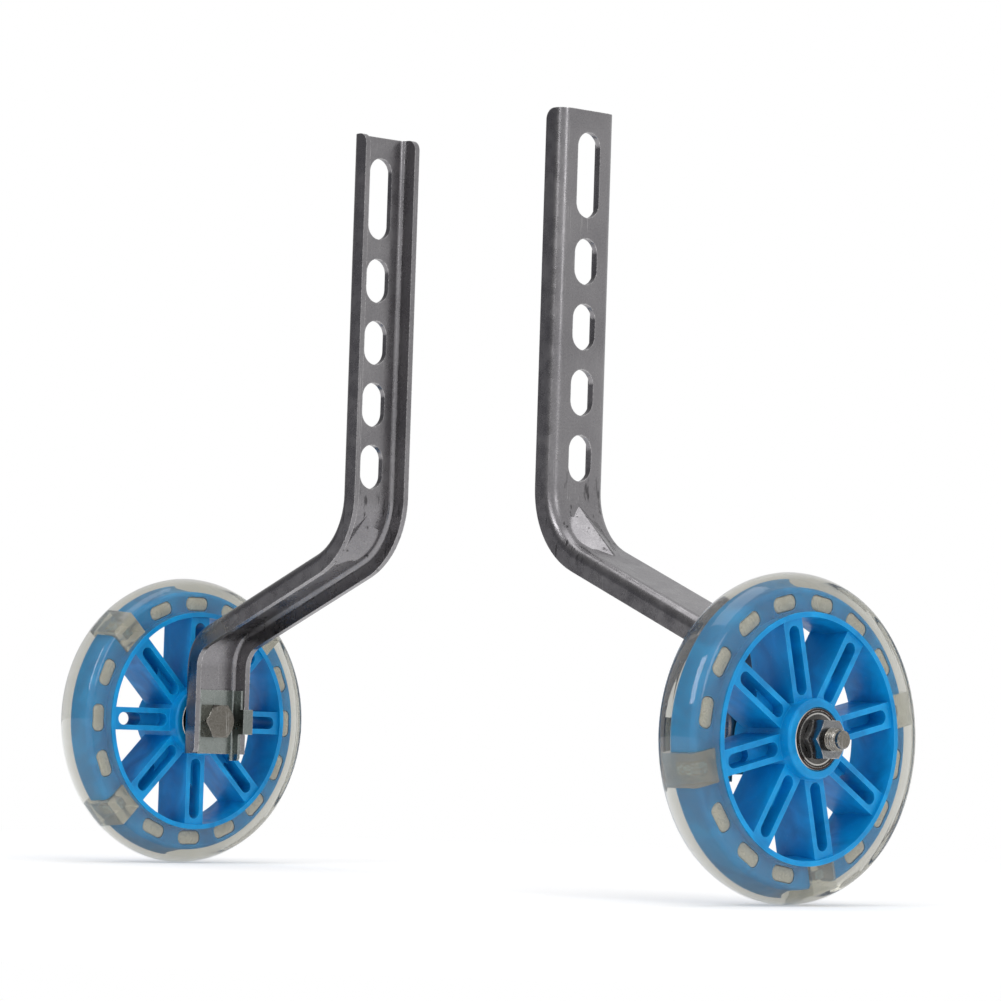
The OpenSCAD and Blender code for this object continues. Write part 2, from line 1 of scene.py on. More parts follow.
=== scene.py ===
"""Looks of the pair of bicycle training wheels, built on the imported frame.

All places and lengths are in metres, in the part's own frame.
"""

import math

import bmesh
import bpy
from mathutils import Euler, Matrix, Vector


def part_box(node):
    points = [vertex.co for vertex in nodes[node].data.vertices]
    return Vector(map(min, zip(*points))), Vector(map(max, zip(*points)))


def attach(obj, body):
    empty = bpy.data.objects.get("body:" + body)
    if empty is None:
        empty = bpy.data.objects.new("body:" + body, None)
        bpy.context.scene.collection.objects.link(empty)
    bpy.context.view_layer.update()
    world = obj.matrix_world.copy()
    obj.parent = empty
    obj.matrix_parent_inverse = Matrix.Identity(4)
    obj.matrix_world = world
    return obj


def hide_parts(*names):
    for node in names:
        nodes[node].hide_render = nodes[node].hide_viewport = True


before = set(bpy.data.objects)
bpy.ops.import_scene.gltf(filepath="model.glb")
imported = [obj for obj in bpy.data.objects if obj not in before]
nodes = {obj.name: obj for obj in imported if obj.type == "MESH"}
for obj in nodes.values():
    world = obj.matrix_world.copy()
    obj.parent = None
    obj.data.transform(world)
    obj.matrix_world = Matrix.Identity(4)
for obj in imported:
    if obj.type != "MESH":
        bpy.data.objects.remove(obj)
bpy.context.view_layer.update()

MM = 0.001
SIDES = {"right": 1, "left": -1}

# Camera: place in metres, turn in degrees and lens in millimetres
CAMERA_PLACE = (1.0391, 1.1779, 0.0544)
CAMERA_TURN = (93.22, -1.811, 138.056)
CAMERA_LENS = 151.05
SENSOR = 36.0
CLIP_START = 0.01
CLIP_END = 50.0

# X and Z of both axles
AXLE = (0.0, 57 * MM)


def linear(red, green, blue):
    """A colour given as 0-255 screen values, in the linear values that shaders take."""
    out = []
    for value in (red, green, blue):
        c = value / 255
        out.append(c / 12.92 if c <= 0.04045 else ((c + 0.055) / 1.055) ** 2.4)
    return (*out, 1.0)


class Shader:
    """A material's node tree, with short ways to add what this scene uses again and again."""

    def __init__(self, name, **uniform):
        self.material = bpy.data.materials.new(name)
        self.material.use_nodes = True
        tree = self.material.node_tree
        self.nodes, self.links = tree.nodes, tree.links
        self.surface = next(n for n in self.nodes if n.type == "BSDF_PRINCIPLED")
        self.output = next(n for n in self.nodes if n.type == "OUTPUT_MATERIAL")
        for key, value in uniform.items():
            self.surface.inputs[key.replace("_", " ")].default_value = value
        self.place = self.add("ShaderNodeTexCoord").outputs["Object"]

    def add(self, kind, inputs=None, **props):
        """A new node; each input is given a value, or a link where the value is another node's socket."""
        node = self.nodes.new(kind)
        for key, value in props.items():
            setattr(node, key, value)
        for key, value in (inputs or {}).items():
            if isinstance(value, bpy.types.NodeSocket):
                self.links.new(value, node.inputs[key])
            else:
                node.inputs[key].default_value = value
        return node

    def set(self, socket, value):
        self.links.new(value, self.surface.inputs[socket])

    def stretched(self, scale):
        """The place, scaled differently along X, Y and Z."""
        return self.add("ShaderNodeMapping", {"Vector": self.place, "Scale": scale}).outputs[0]

    def noise(self, scale, detail=3.0, rough=0.5, place=None, distortion=0.0):
        node = self.add(
            "ShaderNodeTexNoise",
            {"Vector": place or self.place, "Scale": scale, "Detail": detail, "Roughness": rough,
             "Distortion": distortion},
        )
        return node.outputs["Fac"]

    def spread(self, value, low, high, out_low=0.0, out_high=1.0):
        """Maps value from low..high to out_low..out_high, clamped."""
        return self.add(
            "ShaderNodeMapRange",
            {"Value": value, "From Min": low, "From Max": high, "To Min": out_low, "To Max": out_high},
        ).outputs["Result"]

    def math(self, operation, a, b=0.0):
        return self.add("ShaderNodeMath", {0: a, 1: b}, operation=operation).outputs[0]

    def mix(self, share, a, b):
        """Colour a where share is 0, colour b where it is 1."""
        return self.add("ShaderNodeMix", {0: share, 6: a, 7: b}, data_type="RGBA").outputs[2]

    def bruise(self, centre, reach):
        """Dark slanting pits and scratches, thick at centre and gone at the distance reach."""
        far = self.add(
            "ShaderNodeVectorMath", {0: self.place, 1: centre}, operation="DISTANCE"
        ).outputs["Value"]
        near = self.spread(far, reach * 0.35, reach, 1.0, 0.0)
        turned = self.add(
            "ShaderNodeMapping",
            {"Vector": self.place, "Rotation": (math.radians(35), 0.0, 0.0), "Scale": (430.0, 560.0, 120.0)},
        ).outputs[0]
        cuts = self.noise(1.0, 2.0, 0.5, place=turned)
        return self.math("MULTIPLY", self.spread(cuts, 0.62, 0.71, 0.0, 0.8), near)

    def edges(self, radius, low=0.6, high=0.985):
        """1 on edges sharper than radius, 0 on flat and gently curved faces."""
        bevel = self.add("ShaderNodeBevel", {"Radius": radius}, samples=6)
        true_normal = self.add("ShaderNodeNewGeometry").outputs["Normal"]
        dot = self.add(
            "ShaderNodeVectorMath", {0: bevel.outputs[0], 1: true_normal}, operation="DOT_PRODUCT"
        ).outputs["Value"]
        return self.spread(dot, high, low)

    def ring_mask(self, centre, radius, half_width):
        """1 on a circle about an axle along Y, fading to 0 at half_width either side of it."""
        x, _, z = self.add("ShaderNodeSeparateXYZ", {"Vector": self.place}).outputs
        across = self.math("SUBTRACT", x, centre[0])
        up = self.math("SUBTRACT", z, centre[1])
        squares = self.math("ADD", self.math("POWER", across, 2.0), self.math("POWER", up, 2.0))
        off = self.math("ABSOLUTE", self.math("SUBTRACT", self.math("SQRT", squares), radius))
        return self.spread(off, half_width * 0.5, half_width, 1.0, 0.0)

    def bump(self, height, strength, distance, under=None):
        """Relief on top of the relief under; the last call's is the one that the surface takes."""
        node = self.add("ShaderNodeBump", {"Height": height, "Strength": strength, "Distance": distance})
        if under is not None:
            self.links.new(under, node.inputs["Normal"])
        self.links.new(node.outputs[0], self.surface.inputs["Normal"])
        return node.outputs[0]


# Colours of the dark spots in the plating
BLOT_COLOUR = linear(38, 36, 38)
SPECK_COLOUR = linear(26, 24, 26)


# The bright colour is both the real grain and scratches and the painted highlight on the edges
def plated_steel(name, dark, light, bright_metal_and_highlight, rough=(0.2, 0.36), speck=0.22, edge_radius=0.7 * MM, bruises=()):
    """Plated metal: cloudy plating, fine grain, dark specks, long scratches and bright broken edges, which
    are painted highlights.
    """
    s = Shader(name, Metallic=1.0)
    cloud = s.noise(38.0, 3.0, 0.5)
    grain = s.noise(1400.0, 2.0)
    base = s.mix(s.spread(cloud, 0.3, 0.7), dark, light)
    base = s.mix(s.spread(grain, 0.3, 0.7, 0.0, 0.08), base, bright_metal_and_highlight)
    blots = s.noise(260.0, 3.0, 0.6, distortion=0.8)
    base = s.mix(s.spread(blots, 0.68, 0.8, 0.0, 0.3 * speck), base, BLOT_COLOUR)
    specks = s.noise(1150.0, 1.0, 0.4)
    speck_mask = s.spread(specks, 0.72, 0.77, 0.0, speck)
    for centre, reach in bruises:
        speck_mask = s.math("MAXIMUM", speck_mask, s.bruise(centre, reach))
    base = s.mix(speck_mask, base, SPECK_COLOUR)
    scratch = s.noise(1.0, 2.0, 0.4, place=s.stretched((2600.0, 2600.0, 60.0)))
    base = s.mix(s.spread(scratch, 0.68, 0.74, 0.0, 0.25), base, bright_metal_and_highlight)
    # Painted highlight: the edges take the bright colour, broken up by noise
    edge_mask = s.edges(edge_radius)
    broken = s.spread(s.noise(900.0, 2.0), 0.38, 0.6)
    painted_highlight_share = s.math("MULTIPLY", edge_mask, broken)
    base = s.mix(painted_highlight_share, base, bright_metal_and_highlight)
    s.set("Base Color", base)
    roughness = s.spread(s.noise(140.0, 4.0, 0.6), 0.3, 0.7, rough[0], rough[1])
    s.set("Roughness", s.math("SUBTRACT", roughness, s.math("MULTIPLY", painted_highlight_share, 0.08)))
    fine = s.bump(grain, 0.12, 0.06 * MM)
    dents = s.noise(170.0, 2.0)
    wavy = s.bump(dents, 0.12, 0.6 * MM, fine)
    s.bump(speck_mask, 0.35, -0.1 * MM, wavy)
    return s


def blue_plastic(name):
    """Moulded blue with a soft glow through thin ribs, paler edges that are painted highlights, faint flow
    marks and dust.
    """
    s = Shader(name, IOR=1.45, Specular_IOR_Level=0.32, Subsurface_Weight=0.12, Subsurface_Scale=2 * MM)
    s.surface.inputs["Subsurface Radius"].default_value = (0.25, 0.7, 1.0)
    deep = linear(2, 124, 186)
    bright = linear(4, 154, 220)
    flow = s.noise(70.0, 3.0, 0.5, distortion=1.2)
    base = s.mix(s.spread(flow, 0.3, 0.7), deep, bright)
    # Painted highlight: the edges turn paler blue
    painted_highlight_share = s.math("MULTIPLY", s.edges(0.6 * MM), 0.55)
    base = s.mix(painted_highlight_share, base, linear(60, 182, 232))
    dust = s.spread(s.noise(1700.0, 2.0), 0.68, 0.76, 0.0, 0.22)
    base = s.mix(dust, base, linear(150, 190, 214))
    s.set("Base Color", base)
    s.set("Roughness", s.spread(s.noise(240.0, 3.0), 0.3, 0.7, 0.34, 0.48))
    skin = s.bump(s.noise(1500.0, 2.0), 0.08, 0.05 * MM)
    s.bump(s.noise(120.0, 2.0), 0.1, 0.5 * MM, skin)
    return s


def clear_plastic(name, tint, haze, rough, transmission, absorb, density):
    """Soft clear plastic: milky share, flow lines and a glossy skin, greyer where it is deep."""
    s = Shader(name, IOR=1.13, Coat_Weight=0.8, Coat_IOR=1.5, Coat_Roughness=0.06)
    s.surface.inputs["Transmission Weight"].default_value = transmission
    cloud = s.noise(90.0, 4.0, 0.6, distortion=1.5)
    s.set("Base Color", s.mix(s.spread(cloud, 0.35, 0.7), tint, haze))
    s.set("Roughness", s.spread(s.noise(180.0, 3.0), 0.3, 0.7, rough[0], rough[1]))
    waves = s.bump(s.noise(75.0, 2.0), 0.1, 0.8 * MM)
    s.bump(s.noise(900.0, 2.0), 0.06, 0.08 * MM, waves)
    volume = s.add("ShaderNodeVolumeAbsorption", {"Color": absorb, "Density": density})
    s.links.new(volume.outputs[0], s.output.inputs["Volume"])
    return s


def cloudy_fill(name):
    """Clear plastic in a window: cloudy beige with painted shade along its rim and a few darker streaks."""
    s = Shader(name, IOR=1.2, Specular_IOR_Level=0.3)
    s.surface.inputs["Transmission Weight"].default_value = 0.22
    cloud = s.noise(330.0, 3.0, 0.6, distortion=1.0)
    base = s.mix(s.spread(cloud, 0.35, 0.65), linear(240, 237, 222), linear(218, 214, 198))
    streaks = s.spread(s.noise(900.0, 2.0, 0.5), 0.6, 0.72, 0.0, 0.35)
    base = s.mix(streaks, base, linear(176, 173, 158))
    # Painted shade: the rim darkens to grey where the fill meets the window's wall
    base = s.mix(s.math("MULTIPLY", s.edges(1.1 * MM), 0.7), base, linear(146, 152, 146))
    s.set("Base Color", base)
    s.set("Roughness", s.spread(cloud, 0.3, 0.7, 0.2, 0.4))
    s.bump(cloud, 0.2, 0.3 * MM)
    return s


def light_element(name):
    """Small lamp element: metallic blue, mottled dark and pale."""
    s = Shader(name, Metallic=0.2, Roughness=0.28)
    blots = s.noise(1300.0, 2.0)
    base = s.mix(s.spread(blots, 0.42, 0.58), linear(4, 58, 96), linear(120, 190, 222))
    s.set("Base Color", base)
    s.bump(blots, 0.3, 0.2 * MM)
    return s


def ground_steel(name, dark, light, rough, rings):
    """Turned or ground steel: cloudy, with a few dark spots, bright edges that are painted highlights, and
    painted rings about the axle, bright ones for highlights and dark ones for shade in the gaps.
    """
    s = Shader(name, Metallic=1.0)
    cloud = s.noise(160.0, 3.0)
    base = s.mix(s.spread(cloud, 0.35, 0.65), dark, light)
    specks = s.spread(s.noise(1500.0, 1.0), 0.68, 0.76, 0.0, 0.5)
    base = s.mix(specks, base, linear(40, 36, 34))
    # Painted rings: bright highlight rings on the chamfers and dark shade rings in the gaps between races and
    # shield
    for radius, half_width, colour in rings:
        base = s.mix(s.ring_mask(AXLE, radius, half_width), base, colour)
    # Painted highlight: the edges turn near-white, broken up by noise
    painted_highlight_share = s.math("MULTIPLY", s.edges(0.4 * MM), s.spread(s.noise(500.0, 2.0), 0.35, 0.55))
    base = s.mix(painted_highlight_share, base, linear(236, 234, 230))
    s.set("Base Color", base)
    s.set("Roughness", s.spread(s.noise(700.0, 2.0), 0.3, 0.7, rough[0], rough[1]))
    s.bump(s.noise(1800.0, 2.0), 0.08, 0.04 * MM)
    return s


def cage_material(name):
    """Moulded ball cage: dull brown, a little cloudy."""
    s = Shader(name, Roughness=0.5)
    base = s.mix(s.spread(s.noise(300.0), 0.35, 0.65), linear(120, 96, 60), linear(160, 134, 90))
    s.set("Base Color", base)
    return s


# Pressing marks at the upper bends: how far out and up they are, and how far they spread
MARK_OUT = 66 * MM
MARK_UP = 132 * MM
MARK_REACH = 30 * MM
BEND_MARKS = [((0.0, out * MARK_OUT, MARK_UP), MARK_REACH) for out in SIDES.values()]

# The third colour of each plated finish is the bright metal of scratches and the painted highlight on its
# edges
STEEL = plated_steel(
    "arm_steel", linear(123, 121, 124), linear(142, 140, 142), linear(236, 234, 234), bruises=BEND_MARKS
)
PLATE = plated_steel(
    "plate_zinc", linear(118, 124, 121), linear(142, 148, 144), linear(238, 240, 238), speck=0.2
)
BOLT = plated_steel(
    "bolt_zinc", linear(98, 94, 87), linear(122, 118, 110), linear(250, 250, 246),
    rough=(0.18, 0.32), speck=0.4, edge_radius=0.8 * MM
)
NUT = plated_steel(
    "nut_zinc", linear(104, 105, 107), linear(130, 131, 132), linear(252, 252, 252),
    rough=(0.12, 0.24), speck=0.25, edge_radius=0.8 * MM
)
SPACER = plated_steel("spacer_steel", linear(92, 92, 94), linear(120, 120, 122), linear(200, 200, 202))
BLUE = blue_plastic("blue_plastic")
CLEAR = clear_plastic(
    "clear_tyre", tint=(0.97, 0.97, 0.96, 1), haze=(0.92, 0.92, 0.90, 1), rough=(0.02, 0.08),
    transmission=0.965, absorb=(0.80, 0.797, 0.77, 1), density=190.0
)
MODULE = clear_plastic(
    "clear_module", tint=(0.94, 0.93, 0.87, 1), haze=(0.80, 0.79, 0.71, 1), rough=(0.03, 0.1),
    transmission=0.82, absorb=(0.88, 0.87, 0.80, 1), density=60.0
)
FILL = cloudy_fill("window_fill")
LIGHT = light_element("light_element")
# Painted rings on the bearings, bright ones for highlights on the chamfers and dark ones for shade in the
# gaps, are (radius, half width, colour)
BEARING = ground_steel(
    "bearing_steel", linear(76, 66, 62), linear(104, 94, 90), (0.14, 0.28),
    ((10.75 * MM, 0.22 * MM, linear(226, 222, 216)), (10.1 * MM, 0.45 * MM, linear(64, 54, 50)))
)
SHIELD = ground_steel(
    "shield_steel", linear(78, 77, 76), linear(104, 102, 100), (0.2, 0.34),
    ((9.55 * MM, 0.4 * MM, linear(12, 11, 11)), (8.75 * MM, 0.3 * MM, linear(196, 194, 190)),
     (6.6 * MM, 0.3 * MM, linear(20, 19, 19)))
)
CAGE = cage_material("cage_brass")

# Finish of each kind of piece, by the ending of its name
FINISHES = {
    "arm": STEEL,
    "retainer_plate": PLATE,
    "axle_bolt": BOLT,
    "axle_nut": NUT,
    "inboard_spacer": SPACER,
    "bearing_spacer": SPACER,
    "wheel_core": BLUE,
    "tyre": CLEAR,
    "light_modules": MODULE,
    "led_inserts": LIGHT,
    "outer_race": BEARING,
    "inner_race": BEARING,
    "balls": BEARING,
    "cage": CAGE,
    "shields": SHIELD,
}

for name, obj in nodes.items():
    ending = next(e for e in FINISHES if name.endswith(e))
    obj.data.materials.clear()
    obj.data.materials.append(FINISHES[ending].material)

# Faces that lean less than FLAT_ANGLE count as one; edges sharper than ROUND_ANGLE are rounded
FLAT_ANGLE = math.radians(0.6)
ROUND_ANGLE = math.radians(34)
ROUND_STEPS = 2
WELD = 0.002 * MM
# Wide enough to close the thin ledge where each arm's web meets its bends
ARM_WELD = 0.03 * MM


def soften(obj, width, merge=WELD):
    """Joins the imported faces again and rounds the sharp edges a little."""
    obj.data.polygons.foreach_set("use_smooth", [True] * len(obj.data.polygons))
    weld = obj.modifiers.new("weld", "WELD")
    weld.merge_threshold = merge
    flat = obj.modifiers.new("flat", "DECIMATE")
    flat.decimate_type = "DISSOLVE"
    flat.angle_limit = FLAT_ANGLE
    bevel = obj.modifiers.new("round", "BEVEL")
    bevel.width = width
    bevel.segments = ROUND_STEPS
    bevel.limit_method = "ANGLE"
    bevel.angle_limit = ROUND_ANGLE
    bevel.use_clamp_overlap = True
    bevel.harden_normals = True
    normals = obj.modifiers.new("normals", "WEIGHTED_NORMAL")
    normals.keep_sharp = True


for side in SIDES:
    soften(nodes[f"{side}_arm"], 0.25 * MM, ARM_WELD)
    soften(nodes[f"{side}_retainer_plate"], 0.15 * MM)
    soften(nodes[f"{side}_axle_nut"], 0.12 * MM)
    soften(nodes[f"{side}_wheel_core"], 0.3 * MM)


def placed(name, built, sharp, finish):
    """The object made from a bmesh, smooth but for edges of more than sharp degrees."""
    bmesh.ops.recalc_face_normals(built, faces=built.faces)
    mesh = bpy.data.meshes.new(name)
    built.to_mesh(mesh)
    built.free()
    obj = bpy.data.objects.new(name, mesh)
    bpy.context.scene.collection.objects.link(obj)
    mesh.polygons.foreach_set("use_smooth", [True] * len(mesh.polygons))
    mesh.set_sharp_from_angle(angle=math.radians(sharp))
    mesh.materials.append(finish.material)
    return obj


def lathe(name, rows, about, body, finish, steps, shape=None):
    """Closed solid of revolution about an axle along Y.

    The rows are (radius, y) and the last joins the first; shape may change a radius by angle and y.
    """
    built = bmesh.new()
    rings = []
    for radius, y in rows:
        ring = []
        for k in range(steps):
            a = 2 * math.pi * k / steps
            r = radius if shape is None else shape(radius, a, y)
            ring.append(built.verts.new((about.x + r * math.cos(a), y, about.z + r * math.sin(a))))
        rings.append(ring)
    for low, high in zip(rings, rings[1:] + rings[:1]):
        for k in range(steps):
            n = (k + 1) % steps
            built.faces.new((low[k], low[n], high[n], high[k]))
    obj = placed(name, built, 40, finish)
    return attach(obj, body)


# Tyres: one clear solid that the blue flange and the lights sit in, as moulded
TREAD_R = 16 * MM
TREAD_STEPS = 32
SHOULDER_R = 4 * MM
SHOULDER_STEPS = 8
TYRE_STEPS = 288
# Height and half width of the mould seam round the tread
SEAM = 0.1 * MM
SEAM_HALF = 0.35 * MM
# Outer radius of the rim ring, and how far the tyre reaches into it
RING_R = 43.5 * MM
INSIDE = 0.35 * MM


def tyre_rows(radius, half, inner_radius, centre_y):
    """A tyre's outline as (radius, y): shoulder, tread with its seam, and the other shoulder."""
    crown = radius - TREAD_R
    shoulder = crown + math.sqrt((TREAD_R - SHOULDER_R) ** 2 - (half - SHOULDER_R) ** 2)
    lean = math.atan2(half - SHOULDER_R, shoulder - crown)
    rows = [(inner_radius, -half)]
    for k in range(SHOULDER_STEPS + 1):
        a = -math.pi / 2 + (math.pi / 2 - lean) * k / SHOULDER_STEPS
        rows.append((shoulder + SHOULDER_R * math.cos(a), -(half - SHOULDER_R) + SHOULDER_R * math.sin(a)))
    for k in range(1, TREAD_STEPS):
        a = -lean + 2 * lean * k / TREAD_STEPS
        seam = SEAM * math.exp(-((TREAD_R * a / SEAM_HALF) ** 2))
        rows.append(((TREAD_R + seam) * math.cos(a) + crown, TREAD_R * math.sin(a)))
    for k in range(SHOULDER_STEPS + 1):
        a = lean + (math.pi / 2 - lean) * k / SHOULDER_STEPS
        rows.append((shoulder + SHOULDER_R * math.cos(a), half - SHOULDER_R + SHOULDER_R * math.sin(a)))
    rows.append((inner_radius, half))
    return [(r, y + centre_y) for r, y in rows]


for side in SIDES:
    low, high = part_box(f"{side}_tyre")
    centre = (low + high) / 2
    rows = tyre_rows((high.x - low.x) / 2, (high.y - low.y) / 2, RING_R - INSIDE, centre.y)
    tyre = lathe(f"{side}_tyre_clear", rows, centre, f"{side}_wheel", CLEAR, TYRE_STEPS)
    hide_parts(f"{side}_tyre")


# Places round the flange, those that hold a light, and the angle in degrees of the first one
PLACES = 16
LIGHT_PLACES = (0, 4, 8)
PHASES = {"right": 167, "left": 45}
# Clear plastic that fills the flange's windows, cloudier than the tyre: the windows' middle radius,
# then length, height, corner radius, half thickness, edge rounding and first step of it, of a fill
WINDOW_MID = 46.9 * MM
FILL_LEN = 10.6 * MM
FILL_HIGH = 5.2 * MM
FILL_CORNER = 2.2 * MM
FILL_HALF = 5.35 * MM
FILL_ROUND = 0.5 * MM
FILL_STEP = FILL_ROUND * 0.3


def rounded_outline(length, high, corner, inset, per_corner=6):
    """Points of a rounded rectangle about its middle, drawn in by inset."""
    points = []
    corner = corner - inset
    half_len, half_high = length / 2 - inset - corner, high / 2 - inset - corner
    for quarter, (sx, sy) in enumerate(((1, 1), (-1, 1), (-1, -1), (1, -1))):
        for k in range(per_corner + 1):
            a = math.pi / 2 * (quarter + k / per_corner)
            points.append((sx * half_len + corner * math.cos(a), sy * half_high + corner * math.sin(a)))
    return points


def window_fills(side, out):
    """The fills of one wheel's windows, as one piece that turns with the wheel."""
    low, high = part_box(f"{side}_tyre")
    centre = (low + high) / 2
    built = bmesh.new()
    layers = [(-FILL_HALF, FILL_ROUND), (FILL_STEP - FILL_HALF, FILL_STEP), (FILL_ROUND - FILL_HALF, 0.0)]
    layers += [(-y, inset) for y, inset in reversed(layers)]
    for k in range(PLACES):
        if k in LIGHT_PLACES:
            continue
        a = math.radians(PHASES[side] + 360 / PLACES * k)
        radial = Vector((out * math.cos(a), 0, math.sin(a)))
        along = Vector((-out * math.sin(a), 0, math.cos(a)))
        loops = []
        for y, inset in layers:
            loop = []
            for u, v in rounded_outline(FILL_LEN, FILL_HIGH, FILL_CORNER, inset):
                spot = centre + radial * (WINDOW_MID + v) + along * u + Vector((0, y, 0))
                loop.append(built.verts.new(spot))
            loops.append(loop)
        count = len(loops[0])
        for one, two in zip(loops, loops[1:]):
            for n in range(count):
                m = (n + 1) % count
                built.faces.new((one[n], one[m], two[m], two[n]))
        built.faces.new(loops[0])
        built.faces.new(loops[-1])
    obj = placed(f"{side}_window_fills", built, 50, FILL)
    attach(obj, f"{side}_wheel")


for side, out in SIDES.items():
    window_fills(side, out)


# Axle bolts with their thread
HEX_AF = 13 * MM
HEAD_HIGH = 5.3 * MM
# Radii of the head's flat face as shares of HEX_AF, and depths in millimetres of rows down its chamfer
FACE_SHARES = (0.4, 0.47)
HEAD_DEPTHS = (0.0, 0.12, 0.3, 0.5, 0.8, 1.2)
CHAMFER_SHARE = 0.97
CHAMFER_TILT = math.radians(28)
SHANK_R = 3.95 * MM
BOLT_STEPS = 96
THREAD_PITCH = 1.25 * MM
THREAD_DEPTH = 0.62 * MM
THREAD_LEN = 22 * MM
ROWS_PER_TURN = 10
# Half width of the thread's root and width of its flank, as shares of half a pitch
ROOT = 0.12
FLANK = 0.7
# Stepped end beyond the thread: whole length, its neck at the thread, its pin and the pin's tip
END_LEN = 2.2 * MM
NECK_DROP = 0.45 * MM
NECK_START = 0.35 * MM
PIN_START = 0.5 * MM
PIN_R = 3.15 * MM
TIP_R = 2.75 * MM
TIP_LEN = 0.4 * MM
# Narrower rows than this have no thread
THREAD_LEAST_R = 3.2 * MM
# Radius of the tiny hole that is left along the bolt's axis
CORE_R = 0.02 * MM


def hexagon(a):
    """Distance to the side of the hexagon, with two flats towards +Z and -Z."""
    step = math.pi / 3
    turned = (a + math.pi / 2) % step
    turned = min(turned, step - turned)
    return HEX_AF / 2 / math.cos(turned)


def bolt_shape(out, head_front, head_back, tip):
    """Radius of the bolt at each angle and place; out is +1 or -1, the way its tip points along Y."""
    thread_end = tip - END_LEN
    thread_start = thread_end - THREAD_LEN

    def shape(radius, a, y):
        o = out * y
        if o <= head_back + 1e-7 and radius > HEX_AF / 4:
            chamfer = HEX_AF / 2 * CHAMFER_SHARE + (o - head_front) / math.tan(CHAMFER_TILT)
            return min(radius, hexagon(a), chamfer)
        if thread_start < o < thread_end + 0.1 * MM and radius > THREAD_LEAST_R:
            phase = ((o / THREAD_PITCH) - out * a / (2 * math.pi)) % 1.0
            tooth = abs(2 * phase - 1)
            rise = min(1.0, max(0.0, (tooth - ROOT) / FLANK))
            ease = min(1.0, (o - thread_start) / (2 * THREAD_PITCH))
            return radius - THREAD_DEPTH * (1 - rise) * ease
        return radius

    return shape


for side, out in SIDES.items():
    low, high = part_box(f"{side}_axle_bolt")
    about = (low + high) / 2
    inner, outer = (low.y, high.y) if out > 0 else (-high.y, -low.y)
    head_back = inner + HEAD_HIGH
    thread_end = outer - END_LEN
    thread_start = outer - END_LEN - THREAD_LEN
    corner = HEX_AF / 2 / math.cos(math.pi / 6)
    rows = [(CORE_R, inner)] + [(HEX_AF * share, inner) for share in FACE_SHARES]
    rows += [(corner, inner + depth * MM) for depth in HEAD_DEPTHS]
    rows += [(corner, head_back), (SHANK_R, head_back), (SHANK_R, thread_start)]
    count = int(THREAD_LEN / (THREAD_PITCH / ROWS_PER_TURN))
    rows += [(SHANK_R, thread_start + THREAD_LEN * k / count) for k in range(1, count + 1)]
    rows += [(SHANK_R - NECK_DROP, thread_end + NECK_START), (PIN_R, thread_end + PIN_START)]
    rows += [(PIN_R, outer - TIP_LEN), (TIP_R, outer), (CORE_R, outer)]
    rows = [(r, out * o) for r, o in rows]
    shape = bolt_shape(out, inner, head_back, outer)
    bolt = lathe(f"{side}_bolt_threaded", rows, about, "arms", BOLT, BOLT_STEPS, shape)
    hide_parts(f"{side}_axle_bolt")


# Stage: a pale floor that keeps the shadows near the wheels, and a white backdrop for the camera
FLOOR_HALF = 4.0
FLOOR_Z = -0.2 * MM
FLOOR_COLOUR = (0.78, 0.78, 0.78, 1)
FLOOR_GLOW = 0.34
# Distances at which the floor starts to turn white for the camera, and at which it is all white
FLOOR_NEAR = 0.32
FLOOR_FAR = 0.62
# White tent that lights the part, with one dark side: its strength, the way to the dark side,
# its greys from the side opposite (0) to the dark side (1), and the greys' share of blue to red
TENT_STRENGTH = 0.8
DARK_SIDE = (0.66, -0.75, 0.0)
LIGHTEST = (1.0, 1.0, 1.0, 1)
DARKEST = (0.22, 0.22, 0.24, 1)
GREYS = ((0.35, 1.0), (0.55, 0.9), (0.72, 0.55), (0.88, 0.26))
GREY_BLUE = 1.01
# Lamps: name, place, point that it faces, width, height and power in watts
LAMPS = (
    ("key", (1.4, 0.3, 1.0), (0, 0, 0.1), 0.35, 0.9, 6.0),
    ("fill", (0.3, 1.5, 0.8), (0, 0, 0.1), 0.4, 0.8, 3.0),
    ("top", (0.0, 0.0, 1.5), (0, 0, 0), 1.0, 1.0, 5.0),
)


def seen_directly(tree):
    """1 for rays from the camera and through clear plastic, 0 for all others."""
    rays = tree.nodes.new("ShaderNodeLightPath")
    seen = tree.nodes.new("ShaderNodeMath")
    seen.operation = "MAXIMUM"
    tree.links.new(rays.outputs["Is Camera Ray"], seen.inputs[0])
    tree.links.new(rays.outputs["Is Transmission Ray"], seen.inputs[1])
    return seen.outputs[0]


